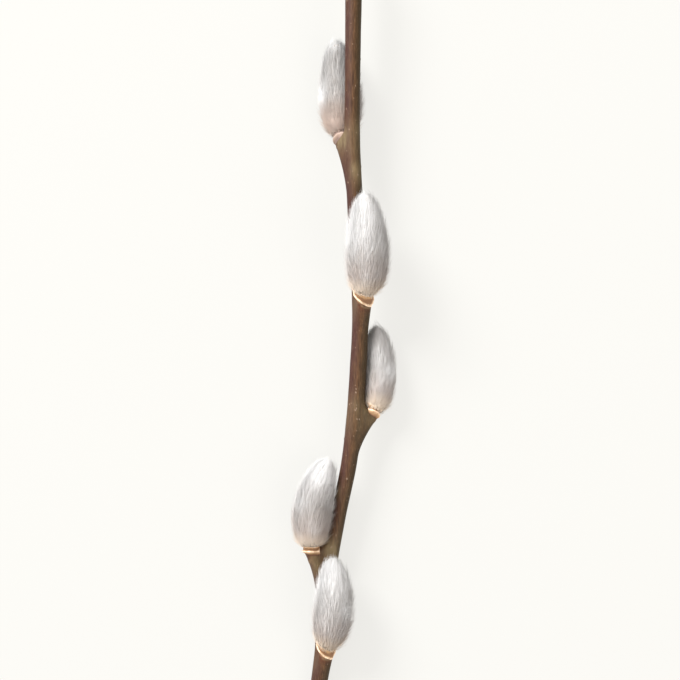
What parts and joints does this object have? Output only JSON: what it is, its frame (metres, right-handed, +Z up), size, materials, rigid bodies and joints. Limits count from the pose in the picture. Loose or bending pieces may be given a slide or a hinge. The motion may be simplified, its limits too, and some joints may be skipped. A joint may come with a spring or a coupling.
{
  "type": "pussy willow twig",
  "caption": "Cut pussy willow twig with silky silver catkins on swollen nodes, lying on its side on a surface.",
  "frame": {"origin": "On the surface that the twig lies on, under the middle of the twig's bounding box.", "axes": "+Y runs up the twig from the lower cut to the upper cut, +X is its right side seen from above, and +Z points up from the surface."},
  "size_m": [0.0235, 0.1868, 0.0174],
  "materials": {
    "bark": "satin",
    "catkin_silk": "matte",
    "bud_scale": "matte"
  },
  "bodies": {
    "root": {"stem": "bark", "catkin_1": "catkin_silk", "catkin_2": "catkin_silk", "catkin_3": "catkin_silk", "catkin_4": "catkin_silk", "catkin_5": "catkin_silk", "bud_scale_1": "bud_scale", "bud_scale_2": "bud_scale", "bud_scale_3": "bud_scale", "bud_scale_4": "bud_scale", "bud_scale_5": "bud_scale"}
  },
  "joints": []
}
